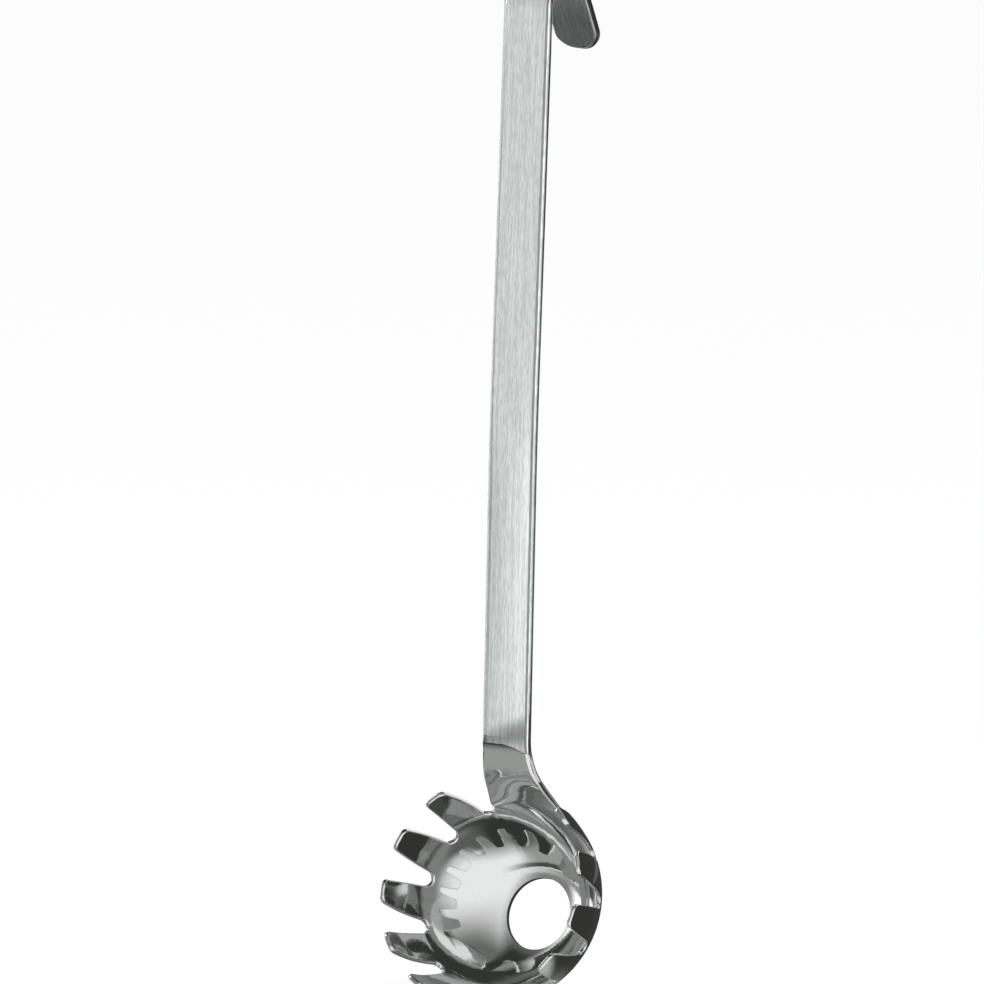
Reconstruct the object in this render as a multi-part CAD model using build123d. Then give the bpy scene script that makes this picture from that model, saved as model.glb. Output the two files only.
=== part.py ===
from build123d import *
from math import atan2, cos, degrees, radians, sin, sqrt, tan
import os

# Pasta server: a flat steel strip, hooked at the top, welded to a round toothed bowl with a
# drain hole. All sizes are in millimetres. +Z is up along the handle, the bowl opens towards -Y,
# the hook falls away behind towards +Y, and X runs across the strip.
# The origin is the centre of the hook's bend, where the server hangs on a rail.

# Handle strip
strip_width = 16.7
strip_thick = 3.0
strip_edge_radius = 1.0

# Hook: the bend goes over the rail and the tongue comes down behind it
hook_inner_radius = 8.5
tongue_lean_deg = 28.7
tongue_length = 23.6
tongue_end_flat = 2.7

# Handle below the hook: a long straight, a slight set backwards, and a second straight
upper_straight = 116.2
handle_set_deg = 1.45
handle_set_radius = 1200.0
lower_straight = 79.9

# Neck: the strip turns back to the bowl, and the radius is that of its front face.
# The weld lies a little way into this turn.
neck_bend_radius = 20.5
seam_turn_deg = 13.0
neck_run = 11.0
neck_flare_power = 1.35

# Bowl: a turned dish, measured on its inner face along and out from its own axis
bowl_axis_rise_deg = 18.3
bowl_thick = 1.5
hole_radius = 11.25
dish_slope_deg = 7.5
dish_radius = 21.2
dish_height = 4.2
root_radius = 30.7
root_height = 17.35
wall_radius = 32.4
wall_height = 22.8
tip_radius = 34.05
tip_height = 35.6
tip_flare_deg = 3.5

# Teeth: one at the foot of the bowl and the rest spaced evenly up both sides
tooth_count = 11
tooth_pitch_deg = 27.63
gap_root_radius = 2.25
gap_flank_deg = 8.2
tooth_corner_share = 1 / 3
rim_edge_radius = 0.45

# One overrun serves every cut, and one slack tells lengths apart when edges are chosen
cut_over = 10.0
length_slack = 0.2

hook_outer_radius = hook_inner_radius + strip_thick
tongue_corner_radius = (strip_width - tongue_end_flat) / 2

# A tooth's corners are rounded by a share of its width at the tip
gap_lean = radians(gap_flank_deg)
gap_half_width = gap_root_radius * cos(gap_lean) + (tip_height - root_height) * tan(gap_lean)
tooth_half_width = tip_radius * sin(radians(tooth_pitch_deg / 2)) - gap_half_width
tooth_corner_radius = 2 * tooth_half_width * tooth_corner_share

# Stations along the neck, as shares of its length from the bowl's rim to the weld
neck_station_shares = [0.09, 0.22, 0.4, 0.6, 0.8]

# Places where the outside of the bowl is set off from its inner face, as shares of the curve
offset_shares = [0.1, 0.2, 0.3, 0.4, 0.5, 0.6, 0.7, 0.8, 0.9, 1.0]


def heading(lean_deg):
    """Direction down the strip, in the side view, for a lean from straight down towards +Y."""
    return Vector(sin(radians(lean_deg)), -cos(radians(lean_deg)))


def strip_line(depth, neck_deg):
    """Side-view line of the strip, that far behind its front face, from tongue tip to weld."""
    bend_radius = hook_outer_radius - depth
    bend = CenterArc((0, 0), bend_radius, tongue_lean_deg, 180 - tongue_lean_deg)
    tongue = Line(bend @ 0 + heading(tongue_lean_deg) * tongue_length, bend @ 0)
    upper = Line(bend @ 1, bend @ 1 + heading(0) * upper_straight)
    handle_set = JernArc(upper @ 1, upper % 1, handle_set_radius - depth, handle_set_deg)
    lower = Line(handle_set @ 1, handle_set @ 1 + heading(handle_set_deg) * lower_straight)
    neck = JernArc(lower @ 1, lower % 1, neck_bend_radius - depth, neck_deg)
    return [tongue, bend, upper, handle_set, lower, neck]


def strip_side(neck_deg):
    """Closed side view of the strip."""
    front = strip_line(0, neck_deg)
    back = strip_line(strip_thick, neck_deg)
    tip = Line(front[0] @ 0, back[0] @ 0)
    weld = Line(front[-1] @ 1, back[-1] @ 1)
    return make_face(front + back + [tip, weld])


def hooked_handle():
    """The brushed strip with its hook, rounded tongue and rounded long edges."""
    strip = extrude(Plane.YZ * strip_side(seam_turn_deg), strip_width / 2, both=True)
    tip = strip_line(strip_thick / 2, seam_turn_deg)[0] @ 0
    near_tip = strip.edges().sort_by_distance((0, tip.X, tip.Y))
    corners = [e for e in near_tip[:4] if abs(e.center().X) > strip_width / 4]
    strip = fillet(corners, tongue_corner_radius)
    return fillet(long_edges(strip), strip_edge_radius)


def long_edges(strip):
    """Edges that run round the strip's two broad faces, tongue tip included."""
    side = strip_width / 2
    chosen = []
    for edge in strip.edges():
        across = abs((edge @ 0).X - (edge @ 1).X)
        at_side = min(abs((edge @ 0).X), abs((edge @ 1).X)) > side - length_slack
        runs_along = at_side and across < side and edge.length > strip_thick + length_slack
        rounds_tip = length_slack < across < strip_width - length_slack
        if runs_along or rounds_tip:
            chosen.append(edge)
    return chosen


def neck_path():
    """Front face of the neck in the side view: its bend from the weld on, then its run."""
    start = strip_line(0, seam_turn_deg)[-1]
    turn_deg = 90 - handle_set_deg - bowl_axis_rise_deg - root_flare_deg()
    bend = JernArc(start @ 1, start % 1, neck_bend_radius, turn_deg - seam_turn_deg)
    run = Line(bend @ 1, bend @ 1 + (bend % 1) * neck_run)
    return Wire([bend, run])


def bowl_frame():
    """The bowl's own frame: centre of the hole on the inner face, Z along the axis."""
    rise = radians(bowl_axis_rise_deg)
    axis = Vector(0, -cos(rise), sin(rise))
    up = Vector(0, sin(rise), cos(rise))
    rim = neck_path() @ 1
    origin = Vector(0, rim.X, rim.Y) - axis * root_height - up * root_radius
    return Plane(origin=origin, x_dir=(1, 0, 0), z_dir=axis)


def flare(angle_deg):
    """Unit direction up the bowl's wall, leaning out from the axis by that angle."""
    return Vector(sin(radians(angle_deg)), cos(radians(angle_deg)))


def bowl_inside():
    """Inner face of the bowl in section, from the edge of the hole to the tips of the teeth."""
    return Spline(
        (hole_radius, 0), (dish_radius, dish_height), (root_radius, root_height),
        (wall_radius, wall_height), (tip_radius, tip_height),
        tangents=[flare(90 - dish_slope_deg), flare(tip_flare_deg)],
    )


def root_flare_deg():
    """Flare of the bowl's wall where the teeth and the neck begin."""
    inside = bowl_inside()
    along = inside % inside.param_at_point((root_radius, root_height))
    return degrees(atan2(along.X, along.Y))


def bowl_section():
    """Half section of the sheet, radius across and height up, from the hole to the tips."""
    inside = bowl_inside()
    points = [Vector(hole_radius, -bowl_thick / cos(radians(dish_slope_deg)))]
    for share in offset_shares:
        along = inside % share
        points.append(inside @ share + Vector(along.Y, -along.X) * bowl_thick)
    outside = Spline(*points, tangents=[inside % 0, inside % 1])
    hole_wall = Line(inside @ 0, outside @ 0)
    tip = Line(inside @ 1, outside @ 1)
    return make_face([inside, tip, outside, hole_wall])


def gap_angles():
    """Angles of the gaps, round the axis from the neck."""
    first = 180 - tooth_pitch_deg * tooth_count / 2
    return [first + tooth_pitch_deg * step for step in range(tooth_count + 1)]


def gap_cutter(angle_deg):
    """U-shaped notch between two teeth, wider at the tips, cut straight out from the axis."""
    foot_x = gap_root_radius * cos(gap_lean)
    low_z = root_height + gap_root_radius * (sin(gap_lean) - 1)
    top_z = tip_height + cut_over
    top_x = gap_half_width + cut_over * tan(gap_lean)
    root = ThreePointArc((-foot_x, root_height), (0, low_z), (foot_x, root_height))
    flanks = Polyline((foot_x, root_height), (top_x, top_z), (-top_x, top_z), (-foot_x, root_height))
    out = Vector(0, 1, 0).rotate(Axis.Z, angle_deg)
    across = Vector(0, 0, 1).cross(out)
    face = Plane(origin=out * dish_radius, x_dir=across, z_dir=out) * make_face([root, flanks])
    return extrude(face, tip_radius - dish_radius + cut_over)


def neck_clearing():
    """Wedge above the root, between the two gaps beside the neck, where no tooth stands."""
    reach = tip_radius + cut_over
    side = reach * tan(radians(gap_angles()[0]))
    wedge = Polyline((0, 0), (side, reach), (-side, reach), close=True)
    return extrude(Plane.XY.offset(root_height) * make_face(wedge), tip_height)


def turned_bowl():
    """The bowl with its hole and teeth, in its own frame, open where the neck joins."""
    gaps = gap_angles()
    bowl = Rot(0, 0, 90 + gaps[0]) * revolve(Plane.XZ * bowl_section(), Axis.Z)
    for angle in gaps:
        bowl -= gap_cutter(angle)
    bowl = fillet(tip_corners(bowl), tooth_corner_radius)
    bowl = fillet(sheet_edges(bowl), rim_edge_radius)
    return bowl - neck_clearing()


def tip_corners(bowl):
    """The two short corner edges at the end of every tooth."""
    limit = tip_height - bowl_thick
    ends = [e for e in bowl.edges() if min((e @ 0).Z, (e @ 1).Z) > limit]
    return [e for e in ends if e.length < bowl_thick + length_slack]


def sheet_edges(bowl):
    """Edges that run along the gaps and tips on both faces of the sheet, but not through it."""
    chosen = []
    for face in bowl.faces().filter_by(GeomType.REVOLUTION):
        for edge in face.edges():
            is_high = max((edge @ 0).Z, (edge @ 1).Z) > dish_height
            is_seam = min((edge @ 0).Z, (edge @ 1).Z) < dish_height
            if is_high and not is_seam:
                chosen.append(edge)
    return chosen


def neck_section(share, rim_half_width):
    """Cross-section of the neck: dished at the bowl's rim, flat and thick at the weld."""
    point = neck_path() @ (1 - share)
    along = neck_path() % (1 - share)
    frame = Plane(origin=(0, point.X, point.Y), x_dir=(1, 0, 0), z_dir=(0, -along.X, -along.Y))
    thick = bowl_thick + (strip_thick - bowl_thick) * share
    corner = rim_edge_radius + (strip_edge_radius - rim_edge_radius) * share
    if share == 1:
        return frame * Pos(0, thick / 2) * RectangleRounded(strip_width, thick, corner)
    extra = (rim_half_width - strip_width / 2) * (1 - share) ** neck_flare_power
    half = strip_width / 2 + extra
    rim_dish = root_radius - sqrt(root_radius**2 - rim_half_width**2)
    spread = 2 * atan2(rim_dish * (1 - share), half)
    inner = dished_line(half / sin(spread), 0, spread)
    outer = dished_line(half / sin(spread), thick, spread)
    sides = [Line(inner @ 0, outer @ 0), Line(inner @ 1, outer @ 1)]
    section = make_face([inner, outer] + sides)
    return frame * fillet(section.vertices(), corner)


def dished_line(radius, rise, spread):
    """Arc across the neck, that far above the front face, centred on its middle."""
    reach = radius + rise
    end = Vector(reach * sin(spread), reach * cos(spread) - radius)
    return ThreePointArc((-end.X, end.Y), (0, rise), (end.X, end.Y))


def toothed_bowl():
    """The polished bowl with its neck, in place."""
    frame = bowl_frame()
    bowl = frame * turned_bowl()
    across_axis = bowl.faces().filter_by(Axis(frame.origin, frame.z_dir))
    rim = across_axis.sort_by(Axis.Z)[-1]
    rim_half_width = max(v.X for v in rim.vertices())
    sections = [rim]
    for share in neck_station_shares + [1]:
        sections.append(neck_section(share, rim_half_width))
    return bowl + loft(sections)


def main():
    os.makedirs("parts", exist_ok=True)
    export_step(hooked_handle(), "parts/hooked_handle.step")
    export_step(toothed_bowl(), "parts/toothed_bowl.step")


main()
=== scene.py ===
import math
import bpy
from mathutils import Matrix, Vector


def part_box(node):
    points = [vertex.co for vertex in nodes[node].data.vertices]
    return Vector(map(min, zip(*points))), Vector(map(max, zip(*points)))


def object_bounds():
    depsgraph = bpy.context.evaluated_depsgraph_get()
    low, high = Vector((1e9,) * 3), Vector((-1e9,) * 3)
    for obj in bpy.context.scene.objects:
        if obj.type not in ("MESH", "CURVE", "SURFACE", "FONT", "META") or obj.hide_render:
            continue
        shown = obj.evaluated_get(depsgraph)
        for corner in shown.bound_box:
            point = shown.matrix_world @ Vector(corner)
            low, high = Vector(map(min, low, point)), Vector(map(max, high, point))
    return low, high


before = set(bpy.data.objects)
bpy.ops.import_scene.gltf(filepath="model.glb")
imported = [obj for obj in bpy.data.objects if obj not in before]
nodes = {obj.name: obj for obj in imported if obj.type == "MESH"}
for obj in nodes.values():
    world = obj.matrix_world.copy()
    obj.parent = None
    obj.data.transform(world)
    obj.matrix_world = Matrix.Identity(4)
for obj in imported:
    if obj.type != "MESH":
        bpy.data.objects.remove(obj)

cad_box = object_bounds()
MM = 0.001

# Camera of the photograph: its direction in degrees, its roll, and the height that it takes in
VIEW_AZIMUTH = 32.9
VIEW_ELEVATION = 8.4
VIEW_ROLL = math.radians(2.05)
FRAME_HEIGHT = 300.9 * MM
CAMERA_DISTANCE = 2.0
CAMERA_CLIP = 20

# Centre of the drain hole on the bowl's inner face, and the pixel of the photograph that shows it
HOLE_CENTRE = Vector((0, 13.741, -283.343)) * MM
HOLE_PIXEL = (538.3, 913.6)
IMAGE_SIDE = 984

# The handle: half its width, where its lower half starts to crown and where the crown is full
HALF_WIDTH = 8.35 * MM
CROWN_TOP = -118 * MM
CROWN_FULL = -150 * MM

# Its front face in the side view, the height from which it is set back and by what slope, and half
# its thickness
FRONT_Y = -11.5 * MM
SET_BACK_Z = -131.4 * MM
SET_BACK_SLOPE = math.tan(math.radians(1.45))
STRIP_MIDDLE = 1.5 * MM

# Brushed steel: stretch of the fine and of the broad lines, share of each, and their two shades
FINE_BRUSH = (4200, 330, 330)
BROAD_BRUSH = (1800, 40, 40)
FINE_SHARE = 0.55
BROAD_SHARE = 0.45
BRUSH_CONTRAST = (0.4, 0.6)
BRUSH_DARK = (0.535, 0.558, 0.553)
BRUSH_LIGHT = (0.715, 0.746, 0.74)
BRUSH_BUMP = 0.25
BRUSH_DEPTH = 0.02 * MM

# Its anisotropy and roughness, and what a rolled edge loses of them. The tongue loses a share of
# that, which grows between two depths.
ANISOTROPY = 0.85
ANISOTROPY_LOSS = 0.65
BRUSH_ROUGHNESS = 0.3
ROUGHNESS_LOSS = 0.14
TONGUE_DEPTHS = (6 * MM, 14 * MM)
TONGUE_SMOOTHNESS = 0.7

# Rolled edges: the left one by share of the half width, the right one by the normal's X, and the
# painted shade, a dark line painted into the colour along each
LEFT_ROLL = (-0.78, -0.9)
RIGHT_ROLL = (0.05, 0.3)
LEFT_PAINTED_SHADE_BAND = ((-0.84, -0.79), (-0.77, -0.72))
RIGHT_PAINTED_SHADE_BAND = ((0.04, 0.14), (0.6, 0.85))
LEFT_PAINTED_SHADE_DARKNESS = 0.3
RIGHT_PAINTED_SHADE_DARKNESS = 0.72

# Lean of the normal: over the left edge, across the crown and out of the strip's narrow side
LEFT_ROLL_LEAN = -0.5
CROWN_LEAN = 0.03
CROWN_SPREAD = 0.15
NARROW_SIDE = (0.8, 0.97)
SIDE_BULGE = 0.5

# The turn into the neck: how far above the weld it begins and how much higher at the right edge,
# its length, and the normal's lean downwards, with how much more of it at the right edge
PRE_BEND = 11.5 * MM
PRE_BEND_SKEW = 0.22 * PRE_BEND
PRE_BEND_LENGTH = 0.6 * PRE_BEND
DROOP = -0.07
DROOP_SKEW = -0.045

# Polished steel: its ripple, and the hairlines with their shades and roughness
RIPPLE_SCALE = 90.0
RIPPLE_BUMP = 0.07
RIPPLE_DEPTH = 0.2 * MM
HAIRLINES = (2500, 700, 700)
HAIRLINE_CONTRAST = (0.3, 0.7)
HAIRLINE_ROUGHNESS = (0.035, 0.065)
POLISH_DARK = (0.487, 0.495, 0.489)
POLISH_LIGHT = (0.532, 0.54, 0.534)

# Edge of the polish on the strip: it rises less past the weld towards the right, and waves
POLISH_SPAN = (-2 * MM, 9 * MM)
POLISH_RISE = (2.3 * MM, 0.4 * MM)
WAVE_SCALE = 160.0
WAVE_HEIGHT = 1.2 * MM
EDGE_BLUR = 0.1 * MM
EDGE_LINE_REACH = 0.45 * MM
EDGE_LINE_DARKNESS = 0.6

# World and floor
WORLD_LIGHT = 0.55
FLOOR_GLOW = 0.8
FLOOR_GREY = 0.3
FLOOR_REACH = 8.0

# Cards that the steel mirrors: the tent, with its elevations in degrees, and the sheet on the floor
TENT_RADIUS = 1.5
TENT_FOOT = -3
TENT_RISE = 92
CARD_STEPS = 120
CARD_RINGS = 60
RING_GROWTH = 1.105
SHEET_LIFT = 0.5 * MM
CARD_TINT = (0.965, 1.0, 0.945)
CARD_WHITE_FROM = 0.9

# Glow of the softboxes, of the dark studio and of the floor near by
FRONT_GLOW = 1.55
LEFT_GLOW = 2.2
SIDE_GLOW = 0.4
NEAR_SIDE_GLOW = 0.58
BACK_GLOW = 0.06
FAR_BACK_GLOW = 0.18
BACK_WALL_GLOW = 0.22
BACK_CARD_GLOW = 1.4
RIGHT_WALL_GLOW = 1.1
FAR_LEFT_GLOW = 1.6
FAR_SIDE_GLOW = 0.5
FLOOR_PATCH_GLOW = 1.5
UNDER_GLOW = 0.36

# Glow as it comes back out of the bowl after two reflections
SECOND_LEFT_GLOW = 2.9
SECOND_GLOW = 0.75
SECOND_RING_GLOW = 1.3
SECOND_RIGHT_GLOW = 0.85
SECOND_RIGHT_RING_GLOW = 0.5
SECOND_PATCH_GLOW = 2.6
SECOND_DARK_GLOW = 0.12

# Glow after three reflections, of the cards and of the steel that is met even then
THIRD_GLOW = 1.1
THIRD_GAP_GLOW = 0.2
THIRD_LOW_RIGHT_GLOW = 0.4
THIRD_RIGHT_GLOW = 2.1
THIRD_FLOOR_GLOW = 0.65
THIRD_RING_GLOW = 2.4
LAST_GLOW = 0.8

# Soft borders of the glows, as azimuths in degrees
FRONT_START = (-32, -8)
FRONT_END = (84, 100)
SIDE_AZIMUTHS = ((-150, -110), (-20, 0))
LEFT_AZIMUTHS = ((-96, -84), (-64, -48))
BACK_WALL_AZIMUTHS = ((118, 132), (148, 160))
BACK_CARD_AZIMUTHS = ((112, 126), (200, 214))
RIGHT_WALL_END = (130, 144)
FAR_LEFT_START = (-158, -140)
FAR_SIDE_START = (-90, -72)
FAR_FRONT_START = (-58, -4)
DIM_RING_END = (-25, 12)
FLOOR_PATCH_AZIMUTHS = ((-80, -60), (-40, -10))
SECOND_LEFT_AZIMUTHS = ((-110, -90), (-64, -18))
SECOND_RIGHT_START = (14, 32)
SECOND_PATCH_AZIMUTHS = ((4, 14), (26, 34))
THIRD_GAP_AZIMUTHS = ((14, 20), (27, 33))
THIRD_RIGHT_START = (27, 36)
THIRD_RING_AZIMUTHS = ((-18, -6), (28, 36))

# Borders on the tent, as elevations in degrees, and the share of a glow that fades past them
HORIZON_TOP = (1, 5)
SIDE_TOP = (20, 50)
FRONT_TOP = (10, 68)
FRONT_FADE = 0.87
LEFT_TOP = (30, 62)
BACK_WALL_TOP = (5, 12)
BACK_CARD_ELEVATIONS = ((14, 20), (45, 65))
SECOND_TOP = (25, 45)
SECOND_FADE = 0.5
SECOND_RIGHT_TOP = (1, 10)
THIRD_TOP = (38, 48)
THIRD_FADE = 0.65
THIRD_RIGHT_FOOT = (6, 14)

# Borders on the sheet, in metres from the middle of the bowl, and the shares that fade or stay
UNDER_END = (0.012, 0.035)
NEAR_SIDE_START = (0.01, 0.06)
NEAR_SIDE_END = (0.14, 0.19)
NEAR_SIDE_FADE = 0.8
NEAR_FRONT_START = (0.01, 0.07)
NEAR_FRONT_SHARE = 0.25
DIM_RING = ((0.11, 0.16), (0.3, 0.42))
DIM_RING_FADE = 0.8
FLOOR_PATCH_REACHES = ((0.37, 0.41), (0.45, 0.48))
HORIZON_START = (0.32, 0.42)
RIGHT_WALL_START = (0.54, 0.64)
FAR_BACK_START = (0.55, 0.9)
SECOND_RING = ((0.09, 0.15), (0.4, 0.6))
THIRD_RING = ((0.08, 0.12), (0.28, 0.4))

FLOOR_Z = cad_box[0][2]
WELD_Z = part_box("hooked_handle")[0][2]
BOWL_CENTRE = (Vector(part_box("toothed_bowl")[0]) + Vector(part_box("toothed_bowl")[1])) / 2


def direction(azimuth_deg, elevation_deg):
    """Unit vector: azimuth 0 is the object's front, -Y, and it grows towards +X."""
    a = math.radians(azimuth_deg)
    e = math.radians(elevation_deg)
    return Vector((math.sin(a) * math.cos(e), -math.cos(a) * math.cos(e), math.sin(e)))


def blend(first, second, share):
    """The first number, with that share of the way to the second."""
    return first + (second - first) * share


def ramp(value, start, end):
    """Smooth step: 0 at start, 1 at end, either way round."""
    share = max(0.0, min(1.0, (value - start) / (end - start)))
    return share * share * (3 - 2 * share)


def window(value, rise, fall):
    """1 between the two soft borders, each given as (start, end)."""
    return ramp(value, *rise) * (1 - ramp(value, *fall))


def add_object(name, data):
    made = bpy.data.objects.new(name, data)
    bpy.context.scene.collection.objects.link(made)
    return made


# Camera

def make_camera():
    """Camera that shows the centre of the hole at its pixel of the photograph."""
    towards = direction(VIEW_AZIMUTH, VIEW_ELEVATION)
    right = direction(VIEW_AZIMUTH + 90, 0)
    up = towards.cross(right)
    across = right * math.cos(VIEW_ROLL) + up * math.sin(VIEW_ROLL)
    upward = up * math.cos(VIEW_ROLL) - right * math.sin(VIEW_ROLL)
    pixel = FRAME_HEIGHT / IMAGE_SIDE
    half = IMAGE_SIDE / 2
    middle = HOLE_CENTRE + across * (half - HOLE_PIXEL[0]) * pixel
    middle -= upward * (half - HOLE_PIXEL[1]) * pixel
    data = bpy.data.cameras.new("camera")
    data.type = "ORTHO"
    data.ortho_scale = FRAME_HEIGHT
    data.clip_end = CAMERA_CLIP
    camera = add_object("camera", data)
    camera.matrix_world = Matrix((across, upward, towards)).transposed().to_4x4()
    camera.location = middle + towards * CAMERA_DISTANCE
    bpy.context.scene.camera = camera


# Node helpers

class Graph:
    """A small helper that adds nodes to one material or world and links them."""

    def __init__(self, tree):
        self.tree = tree
        self.tree.nodes.clear()

    def node(self, kind, **values):
        made = self.tree.nodes.new(kind)
        for name, value in values.items():
            setattr(made, name, value)
        return made

    def link(self, source, target):
        self.tree.links.new(source, target)

    def math(self, operation, first, second=None, third=None):
        made = self.node("ShaderNodeMath", operation=operation)
        for socket, value in zip(made.inputs, (first, second, third)):
            if value is None:
                continue
            if isinstance(value, (int, float)):
                socket.default_value = value
            else:
                self.link(value, socket)
        return made.outputs[0]

    def smooth(self, value, start, end, low_value=0.0, high_value=1.0):
        """Smooth step from low_value at start to high_value at end."""
        made = self.node("ShaderNodeMapRange", interpolation_type="SMOOTHSTEP")
        self.link(value, made.inputs["Value"])
        made.inputs["From Min"].default_value = start
        made.inputs["From Max"].default_value = end
        made.inputs["To Min"].default_value = low_value
        made.inputs["To Max"].default_value = high_value
        return made.outputs["Result"]

    def noise(self, vector, scale, detail, stretch=(1, 1, 1)):
        mapping = self.node("ShaderNodeMapping")
        mapping.inputs["Scale"].default_value = stretch
        self.link(vector, mapping.inputs["Vector"])
        made = self.node("ShaderNodeTexNoise")
        made.inputs["Scale"].default_value = scale
        made.inputs["Detail"].default_value = detail
        self.link(mapping.outputs["Vector"], made.inputs["Vector"])
        return made.outputs["Fac"]

    def parts(self, vector):
        """The vector's three parts."""
        made = self.node("ShaderNodeSeparateXYZ")
        self.link(vector, made.inputs[0])
        return made.outputs[0], made.outputs[1], made.outputs[2]

    def band(self, value, rise, fall):
        """1 between the two soft borders, each given as (start, end)."""
        return self.math("MULTIPLY", self.smooth(value, *rise), self.smooth(value, *fall, 1.0, 0.0))

    def shades(self, value, dark, light):
        """Colour that runs from dark to light as the value runs from 0 to 1."""
        made = self.node("ShaderNodeMix", data_type="RGBA")
        self.link(value, made.inputs["Factor"])
        made.inputs["A"].default_value = (*dark, 1)
        made.inputs["B"].default_value = (*light, 1)
        return made.outputs["Result"]

    def scaled(self, colour, factor):
        made = self.node("ShaderNodeVectorMath", operation="SCALE")
        self.link(colour, made.inputs[0])
        self.link(factor, made.inputs["Scale"])
        return made.outputs[0]

    def leaned_normal(self, *slopes):
        """The surface's normal, leaned towards +X, +Y and +Z by the given slopes."""
        slope = self.node("ShaderNodeCombineXYZ")
        for socket, value in zip(slope.inputs, slopes):
            self.link(value, socket)
        total = self.node("ShaderNodeVectorMath", operation="ADD")
        self.link(self.node("ShaderNodeNewGeometry").outputs["Normal"], total.inputs[0])
        self.link(slope.outputs[0], total.inputs[1])
        unit = self.node("ShaderNodeVectorMath", operation="NORMALIZE")
        self.link(total.outputs[0], unit.inputs[0])
        return unit.outputs[0]

    def bump(self, height, strength, distance):
        """Bump node for that height, still to be linked to a shader's normal."""
        made = self.node("ShaderNodeBump")
        made.inputs["Strength"].default_value = strength
        made.inputs["Distance"].default_value = distance
        self.link(height, made.inputs["Height"])
        return made

    def metal(self, colour, roughness, bump):
        made = self.node("ShaderNodeBsdfPrincipled")
        made.inputs["Metallic"].default_value = 1.0
        self.link(colour, made.inputs["Base Color"])
        self.link(roughness, made.inputs["Roughness"])
        self.link(bump.outputs["Normal"], made.inputs["Normal"])
        return made

    def mixed(self, share, first, second):
        """The first shader, with that share of the second."""
        made = self.node("ShaderNodeMixShader")
        for socket, value in zip(made.inputs, (share, first, second)):
            self.link(value, socket)
        return made.outputs[0]

    def output(self, shader, kind="ShaderNodeOutputMaterial"):
        self.link(shader, self.node(kind).inputs["Surface"])


def new_material(name):
    made = bpy.data.materials.new(name)
    made.use_nodes = True
    return made, Graph(made.node_tree)


# Metals

def brush_lines(g, place):
    """Brush lines along the strip: fine ones over broad ones."""
    fine = g.noise(place, scale=1.0, detail=1.0, stretch=FINE_BRUSH)
    broad = g.noise(place, scale=1.0, detail=2.0, stretch=BROAD_BRUSH)
    return g.math("ADD", g.math("MULTIPLY", fine, FINE_SHARE), g.math("MULTIPLY", broad, BROAD_SHARE))


def brushed_colour(g, lines, share, edge_side, lower):
    """Tone of the brush lines, with painted shade: a dark line along each rolled edge."""
    streak = g.smooth(lines, *BRUSH_CONTRAST)
    # Painted shade: the colour is darkened along each rolled edge, the left one only low on the
    # strip.
    right_painted_shade = g.math("MULTIPLY", g.band(edge_side, *RIGHT_PAINTED_SHADE_BAND), RIGHT_PAINTED_SHADE_DARKNESS)
    left_painted_shade = g.math("MULTIPLY", g.band(share, *LEFT_PAINTED_SHADE_BAND), lower)
    painted_edge_shade = g.math("ADD", right_painted_shade, g.math("MULTIPLY", left_painted_shade, LEFT_PAINTED_SHADE_DARKNESS))
    clean = g.shades(streak, BRUSH_DARK, BRUSH_LIGHT)
    return g.scaled(clean, g.math("SUBTRACT", 1.0, painted_edge_shade))


def strip_normal(g, share, depth, height, edge_side, lower, left_roll):
    """Normal of the strip with its crown, its left roll, its bulged side and its turn below."""
    crown = g.math("MULTIPLY_ADD", share, CROWN_SPREAD, CROWN_LEAN)
    rise = g.math("SUBTRACT", height, WELD_Z)
    bend_start = g.math("MULTIPLY_ADD", share, PRE_BEND_SKEW, PRE_BEND)
    turned = g.smooth(g.math("SUBTRACT", bend_start, rise), 0.0, PRE_BEND_LENGTH)
    droop = g.math("MULTIPLY", turned, g.math("MULTIPLY_ADD", share, DROOP_SKEW, DROOP))
    crowned = g.math("MULTIPLY", lower, g.math("SUBTRACT", 1.0, turned))
    lean = g.math("MULTIPLY_ADD", left_roll, LEFT_ROLL_LEAN, g.math("MULTIPLY", crown, crowned))
    below = g.math("MAXIMUM", g.math("SUBTRACT", SET_BACK_Z, height), 0.0)
    set_back = g.math("MULTIPLY", below, SET_BACK_SLOPE)
    behind = g.math("SUBTRACT", g.math("SUBTRACT", depth, FRONT_Y), set_back)
    off_middle = g.math("DIVIDE", g.math("SUBTRACT", behind, STRIP_MIDDLE), STRIP_MIDDLE)
    on_side = g.smooth(g.math("ABSOLUTE", edge_side), *NARROW_SIDE)
    bulge = g.math("MULTIPLY", g.math("MULTIPLY", off_middle, on_side), SIDE_BULGE)
    return g.leaned_normal(lean, bulge, droop)


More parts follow.
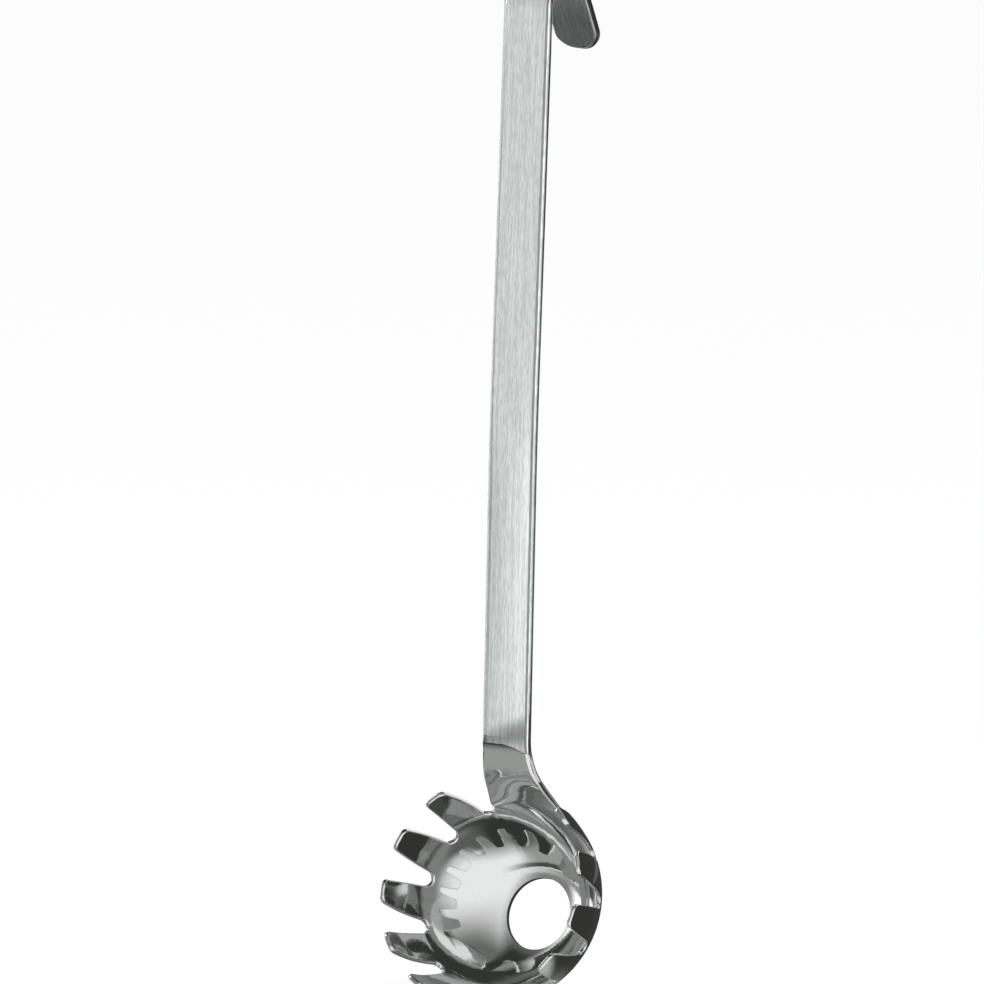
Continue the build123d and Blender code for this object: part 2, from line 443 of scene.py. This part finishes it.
def brushed_shader(g, place, across, depth, height):
    """Brushed steel: fine lines along the strip, a slight crown and softly rolled edges."""
    lines = brush_lines(g, place)
    share = g.math("DIVIDE", across, HALF_WIDTH)
    lower = g.smooth(height, CROWN_TOP, CROWN_FULL)
    edge_side = g.parts(g.node("ShaderNodeTexCoord").outputs["Normal"])[0]
    left_roll = g.smooth(share, *LEFT_ROLL)
    rolled = g.math("MAXIMUM", left_roll, g.smooth(edge_side, *RIGHT_ROLL))
    smoother = g.math("MAXIMUM", rolled, g.smooth(depth, *TONGUE_DEPTHS, 0.0, TONGUE_SMOOTHNESS))
    colour = brushed_colour(g, lines, share, edge_side, lower)
    roughness = g.math("MULTIPLY_ADD", smoother, -ROUGHNESS_LOSS, BRUSH_ROUGHNESS)
    bump = g.bump(lines, BRUSH_BUMP, BRUSH_DEPTH)
    normal = strip_normal(g, share, depth, height, edge_side, lower, left_roll)
    g.link(normal, bump.inputs["Normal"])
    shader = g.metal(colour, roughness, bump)
    anisotropy = g.math("MULTIPLY_ADD", smoother, -ANISOTROPY_LOSS, ANISOTROPY)
    g.link(anisotropy, shader.inputs["Anisotropic"])
    tangent = g.node("ShaderNodeTangent", direction_type="RADIAL", axis="Z")
    g.link(tangent.outputs[0], shader.inputs["Tangent"])
    return shader.outputs[0]


def polished_shader(g, place, dark_line=None):
    """Mirror-polished steel with a faint ripple and hairlines."""
    ripple = g.noise(place, RIPPLE_SCALE, detail=1.0)
    hairline = g.noise(place, scale=1.0, detail=2.0, stretch=HAIRLINES)
    colour = g.shades(hairline, POLISH_DARK, POLISH_LIGHT)
    if dark_line is not None:
        colour = g.scaled(colour, g.math("MULTIPLY_ADD", dark_line, -EDGE_LINE_DARKNESS, 1.0))
    roughness = g.smooth(hairline, *HAIRLINE_CONTRAST, *HAIRLINE_ROUGHNESS)
    return g.metal(colour, roughness, g.bump(ripple, RIPPLE_BUMP, RIPPLE_DEPTH)).outputs[0]


def add_surface(g, shader):
    """Give the material that shader. After three reflections the steel gives an even glow."""
    last = g.node("ShaderNodeEmission")
    last.inputs["Strength"].default_value = LAST_GLOW
    deep = g.math("GREATER_THAN", g.node("ShaderNodeLightPath").outputs["Ray Depth"], 2.5)
    g.output(g.mixed(deep, shader, last.outputs[0]))


def strip_steel():
    """Brushed strip. The polish of the bowl runs up past the weld to a wavy dark line."""
    material, g = new_material("brushed_steel")
    place = g.node("ShaderNodeTexCoord").outputs["Object"]
    across, depth, height = g.parts(place)
    noise = g.noise(place, WAVE_SCALE, detail=1.0)
    wave = g.math("MULTIPLY", g.math("SUBTRACT", noise, 0.5), WAVE_HEIGHT)
    polish_rise = g.smooth(across, *POLISH_SPAN, *POLISH_RISE)
    polish_top = g.math("ADD", g.math("ADD", polish_rise, WELD_Z), wave)
    above = g.math("SUBTRACT", height, polish_top)
    brushed_share = g.smooth(above, -EDGE_BLUR, EDGE_BLUR)
    dark_line = g.smooth(g.math("ABSOLUTE", above), EDGE_LINE_REACH, EDGE_BLUR)
    polished = polished_shader(g, place, dark_line)
    brushed = brushed_shader(g, place, across, depth, height)
    add_surface(g, g.mixed(brushed_share, polished, brushed))
    return material


def polished_steel():
    material, g = new_material("polished_steel")
    add_surface(g, polished_shader(g, g.node("ShaderNodeTexCoord").outputs["Object"]))
    return material


# Studio

def seen_directly(g):
    """1 for rays from the camera and for mirror and glass rays."""
    path = g.node("ShaderNodeLightPath")
    seen = g.math("MAXIMUM", path.outputs["Is Camera Ray"], path.outputs["Is Glossy Ray"])
    return g.math("MAXIMUM", seen, path.outputs["Is Transmission Ray"])


def make_world():
    """White as seen, and a soft even light on the object."""
    world = bpy.data.worlds.new("studio")
    world.use_nodes = True
    g = Graph(world.node_tree)
    backgrounds = []
    for strength in (WORLD_LIGHT, 1.0):
        background = g.node("ShaderNodeBackground")
        background.inputs["Color"].default_value = (1, 1, 1, 1)
        background.inputs["Strength"].default_value = strength
        backgrounds.append(background.outputs[0])
    g.output(g.mixed(seen_directly(g), *backgrounds), "ShaderNodeOutputWorld")
    bpy.context.scene.world = world


def make_floor():
    """Pale floor: mostly white as seen, with a matt share that keeps the shadow."""
    material, g = new_material("floor")
    glow = g.node("ShaderNodeEmission")
    g.link(g.math("MULTIPLY", seen_directly(g), FLOOR_GLOW), glow.inputs["Strength"])
    matt = g.node("ShaderNodeBsdfDiffuse")
    matt.inputs["Color"].default_value = (FLOOR_GREY, FLOOR_GREY, FLOOR_GREY, 1)
    both = g.node("ShaderNodeAddShader")
    g.link(glow.outputs[0], both.inputs[0])
    g.link(matt.outputs[0], both.inputs[1])
    g.output(both.outputs[0])
    mesh = bpy.data.meshes.new("floor")
    signs = ((-1, -1), (1, -1), (1, 1), (-1, 1))
    corners = [(x * FLOOR_REACH, y * FLOOR_REACH, FLOOR_Z) for x, y in signs]
    mesh.from_pydata(corners, [], [(0, 1, 2, 3)])
    mesh.materials.append(material)
    add_object("floor", mesh)


def grid_faces(row, rows):
    """Quads of a grid with that many corners in a row, and that many rows."""
    faces = []
    for j in range(rows - 1):
        for i in range(row - 1):
            first = j * row + i
            faces.append((first, first + 1, first + row + 1, first + row))
    return faces


def glow_by_reflections(g, mesh, glows):
    """Strength of the glow, from each corner's level after one, two and more reflections."""
    depth = g.node("ShaderNodeLightPath").outputs["Ray Depth"]
    levels = []
    for index, label in enumerate(("first_glow", "second_glow", "third_glow")):
        attribute = mesh.attributes.new(label, "FLOAT", "POINT")
        attribute.data.foreach_set("value", [corner[index] for corner in glows])
        levels.append(g.node("ShaderNodeAttribute", attribute_name=label).outputs["Fac"])
    strength = levels[0]
    for reflections, level in enumerate(levels[1:], 1):
        choice = g.node("ShaderNodeMix", data_type="FLOAT")
        g.link(g.math("GREATER_THAN", depth, reflections + 0.5), choice.inputs["Factor"])
        g.link(strength, choice.inputs["A"])
        g.link(level, choice.inputs["B"])
        strength = choice.outputs["Result"]
    return strength


def studio_card(name, rings, corner_at, glow_at):
    """Card that only reflections see, with a ring of corners for each elevation or reach."""
    corners = []
    glows = []
    for ring in rings:
        for step in range(CARD_STEPS + 1):
            azimuth = -180 + 360 * step / CARD_STEPS
            corners.append(corner_at(azimuth, ring))
            glows.append(glow_at(azimuth, ring))
    mesh = bpy.data.meshes.new(name)
    mesh.from_pydata(corners, [], grid_faces(CARD_STEPS + 1, len(rings)))
    material, g = new_material(name)
    strength = glow_by_reflections(g, mesh, glows)
    light = g.node("ShaderNodeEmission")
    colour = g.shades(g.smooth(strength, 0.0, CARD_WHITE_FROM), CARD_TINT, (1, 1, 1))
    g.link(colour, light.inputs["Color"])
    g.link(strength, light.inputs["Strength"])
    g.output(light.outputs[0])
    mesh.materials.append(material)
    card = add_object(name, mesh)
    card.visible_camera = False
    card.visible_diffuse = False
    card.visible_shadow = False
    card.visible_transmission = False


def front_share(azimuth):
    """The wide softbox at the front right."""
    return window(azimuth, FRONT_START, FRONT_END)


def side_share(azimuth):
    """The dimmer left half of the studio."""
    return window(azimuth, *SIDE_AZIMUTHS)


def horizon_glow(azimuth):
    """Glow of the studio's far walls, near the floor."""
    glow = blend(BACK_GLOW, FAR_LEFT_GLOW, window(azimuth, FAR_LEFT_START, FAR_SIDE_START))
    glow = blend(glow, FAR_SIDE_GLOW, window(azimuth, FAR_SIDE_START, FAR_FRONT_START))
    return blend(glow, FRONT_GLOW, window(azimuth, FAR_FRONT_START, FRONT_END))


def right_wall_glow(azimuth, glow, share):
    """That glow with the share of the card behind at the right, which the strip's side mirrors."""
    return blend(glow, RIGHT_WALL_GLOW, share * window(azimuth, FRONT_END, RIGHT_WALL_END))


def second_glow(azimuth, middle, right):
    """Glow by way of two reflections, from its level in the middle and at the right."""
    base = blend(middle, right, ramp(azimuth, *SECOND_RIGHT_START))
    return blend(base, SECOND_LEFT_GLOW, window(azimuth, *SECOND_LEFT_AZIMUTHS))


def tent_first_glow(azimuth, elevation):
    """Glow of the tent by way of one reflection."""
    side = side_share(azimuth) * (1 - ramp(elevation, *SIDE_TOP))
    dark = blend(BACK_GLOW, SIDE_GLOW, side)
    front = front_share(azimuth) * (1 - FRONT_FADE * ramp(elevation, *FRONT_TOP))
    left = window(azimuth, *LEFT_AZIMUTHS) * (1 - ramp(elevation, *LEFT_TOP))
    glow = dark + (FRONT_GLOW - dark) * front + (LEFT_GLOW - dark) * left
    back = window(azimuth, *BACK_WALL_AZIMUTHS) * (1 - ramp(elevation, *BACK_WALL_TOP))
    glow = blend(glow, BACK_WALL_GLOW, back)
    behind = window(azimuth % 360, *BACK_CARD_AZIMUTHS) * window(elevation, *BACK_CARD_ELEVATIONS)
    glow = blend(glow, BACK_CARD_GLOW, behind)
    low_share = 1 - ramp(elevation, *HORIZON_TOP)
    return right_wall_glow(azimuth, blend(glow, horizon_glow(azimuth), low_share), low_share)


def tent_second_glow(azimuth, elevation):
    """Glow of the tent by way of two reflections."""
    middle = SECOND_GLOW * (1 - SECOND_FADE * ramp(elevation, *SECOND_TOP))
    right = blend(SECOND_RIGHT_GLOW, SECOND_DARK_GLOW, ramp(elevation, *SECOND_RIGHT_TOP))
    return second_glow(azimuth, middle, right)


def tent_third_glow(azimuth, elevation):
    """Glow of the tent by way of more reflections."""
    glow = THIRD_GLOW * (1 - THIRD_FADE * ramp(elevation, *THIRD_TOP))
    glow = blend(glow, THIRD_GAP_GLOW, window(azimuth, *THIRD_GAP_AZIMUTHS))
    right = blend(THIRD_LOW_RIGHT_GLOW, THIRD_RIGHT_GLOW, ramp(elevation, *THIRD_RIGHT_FOOT))
    return blend(glow, right, ramp(azimuth, *THIRD_RIGHT_START))


def tent_glow(azimuth, elevation):
    """Glow of the studio tent by way of one, of two and of more reflections."""
    levels = []
    for level in (tent_first_glow, tent_second_glow, tent_third_glow):
        levels.append(level(azimuth, elevation))
    return levels


def sheet_first_glow(azimuth, reach):
    """Glow of the sheet by way of one reflection."""
    near_side = NEAR_SIDE_GLOW * ramp(reach, *NEAR_SIDE_START)
    near_side *= 1 - NEAR_SIDE_FADE * ramp(reach, *NEAR_SIDE_END)
    dark = blend(BACK_GLOW, near_side, side_share(azimuth))
    front = front_share(azimuth) * blend(NEAR_FRONT_SHARE, 1, ramp(reach, *NEAR_FRONT_START))
    front *= 1 - DIM_RING_FADE * window(reach, *DIM_RING) * (1 - ramp(azimuth, *DIM_RING_END))
    glow = blend(dark, FRONT_GLOW, front)
    glow = blend(glow, horizon_glow(azimuth), ramp(reach, *HORIZON_START))
    glow = right_wall_glow(azimuth, glow, ramp(reach, *RIGHT_WALL_START))
    glow = max(glow, FAR_BACK_GLOW * ramp(reach, *FAR_BACK_START))
    glow = blend(UNDER_GLOW, glow, ramp(reach, *UNDER_END))
    patch = window(azimuth, *FLOOR_PATCH_AZIMUTHS) * window(reach, *FLOOR_PATCH_REACHES)
    return blend(glow, FLOOR_PATCH_GLOW, patch)


def sheet_second_glow(azimuth, reach):
    """Glow of the sheet by way of two reflections."""
    ring = window(reach, *SECOND_RING)
    middle = blend(SECOND_GLOW, SECOND_RING_GLOW, ring)
    right = blend(SECOND_RIGHT_GLOW, SECOND_RIGHT_RING_GLOW, ring)
    patch = ring * window(azimuth, *SECOND_PATCH_AZIMUTHS)
    return blend(second_glow(azimuth, middle, right), SECOND_PATCH_GLOW, patch)


def sheet_third_glow(azimuth, reach):
    """Glow of the sheet by way of more reflections."""
    ring = window(reach, *THIRD_RING) * window(azimuth, *THIRD_RING_AZIMUTHS)
    return blend(THIRD_FLOOR_GLOW, THIRD_RING_GLOW, ring)


def sheet_glow(azimuth, reach):
    """Glow of the sheet on the floor, that far from the middle of the bowl, in the same way."""
    levels = []
    for level in (sheet_first_glow, sheet_second_glow, sheet_third_glow):
        levels.append(level(azimuth, reach))
    return levels


def tent_corner(azimuth, elevation):
    return BOWL_CENTRE + direction(azimuth, elevation) * TENT_RADIUS


def sheet_corner(azimuth, reach):
    spot = direction(azimuth, 0) * reach
    return spot.x, BOWL_CENTRE.y + spot.y, FLOOR_Z + SHEET_LIFT


def make_cards():
    """Tent round the object, above the floor, and the sheet on the floor, out to the tent."""
    elevations = [TENT_FOOT + TENT_RISE * j / CARD_RINGS for j in range(CARD_RINGS + 1)]
    studio_card("studio_tent", elevations, tent_corner, tent_glow)
    reaches = [TENT_RADIUS * RING_GROWTH ** (j - CARD_RINGS) for j in range(CARD_RINGS + 1)]
    studio_card("floor_card", reaches, sheet_corner, sheet_glow)


def soft_lamp(name, azimuth, elevation, distance, size, power):
    """Square lamp that shines on the bowl and shows in no reflection."""
    data = bpy.data.lights.new(name, "AREA")
    data.shape = "SQUARE"
    data.size = size
    data.energy = power
    lamp = add_object(name, data)
    towards = direction(azimuth, elevation)
    lamp.location = BOWL_CENTRE + towards * distance
    lamp.rotation_euler = towards.to_track_quat("Z", "Y").to_euler()
    lamp.visible_glossy = False


make_camera()
make_world()
make_floor()
soft_lamp("key_lamp", azimuth=60, elevation=50, distance=1.6, size=1.2, power=12)
make_cards()

for name, material in (("hooked_handle", strip_steel()), ("toothed_bowl", polished_steel())):
    for slot in nodes[name].material_slots:
        slot.material = material

bpy.context.scene.view_settings.view_transform = "Standard"
